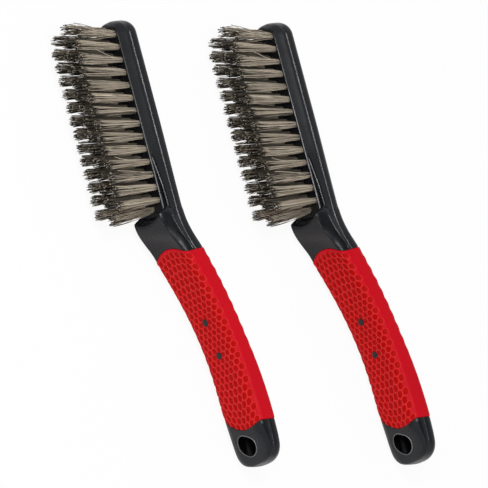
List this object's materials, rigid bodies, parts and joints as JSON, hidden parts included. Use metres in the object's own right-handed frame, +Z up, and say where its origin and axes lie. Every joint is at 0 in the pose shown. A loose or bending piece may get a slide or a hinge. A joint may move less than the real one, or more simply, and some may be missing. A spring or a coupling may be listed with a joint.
{
  "type": "wire scratch brush pair",
  "caption": "Pair of hand wire scratch brushes with bent black plastic bodies, soft red grips and staggered columns of steel wire tufts.",
  "frame": {"origin": "middle of the underside of the pair's bounding box, on the table", "axes": "+Z up from the table, +Y from the butt ends towards the head tips, +X from the tuft tips towards the backs"},
  "size_m": [0.177, 0.2577, 0.0286],
  "materials": {
    "black_plastic": "gloss",
    "red_soft": "satin",
    "steel_wire": "drawn",
    "anchor_steel": "bright"
  },
  "bodies": {
    "left_brush": {"left_body": "black_plastic", "left_grip": "red_soft", "left_anchors": "anchor_steel", "left_tufts_01": "steel_wire", "left_tufts_02": "steel_wire", "left_tufts_03": "steel_wire", "left_tufts_04": "steel_wire", "left_tufts_05": "steel_wire", "left_tufts_06": "steel_wire", "left_tufts_07": "steel_wire", "left_tufts_08": "steel_wire", "left_tufts_09": "steel_wire", "left_tufts_10": "steel_wire", "left_tufts_11": "steel_wire", "left_tufts_12": "steel_wire", "left_tufts_13": "steel_wire", "left_tufts_14": "steel_wire", "left_tufts_15": "steel_wire"},
    "right_brush": {"right_body": "black_plastic", "right_grip": "red_soft", "right_anchors": "anchor_steel", "right_tufts_01": "steel_wire", "right_tufts_02": "steel_wire", "right_tufts_03": "steel_wire", "right_tufts_04": "steel_wire", "right_tufts_05": "steel_wire", "right_tufts_06": "steel_wire", "right_tufts_07": "steel_wire", "right_tufts_08": "steel_wire", "right_tufts_09": "steel_wire", "right_tufts_10": "steel_wire", "right_tufts_11": "steel_wire", "right_tufts_12": "steel_wire", "right_tufts_13": "steel_wire", "right_tufts_14": "steel_wire", "right_tufts_15": "steel_wire"}
  },
  "joints": [
    {"name": "right_lift", "type": "slide", "parent": "left_brush", "child": "right_brush", "axis": [0, 0, 1], "range_m": [0, 0.15]}
  ]
}
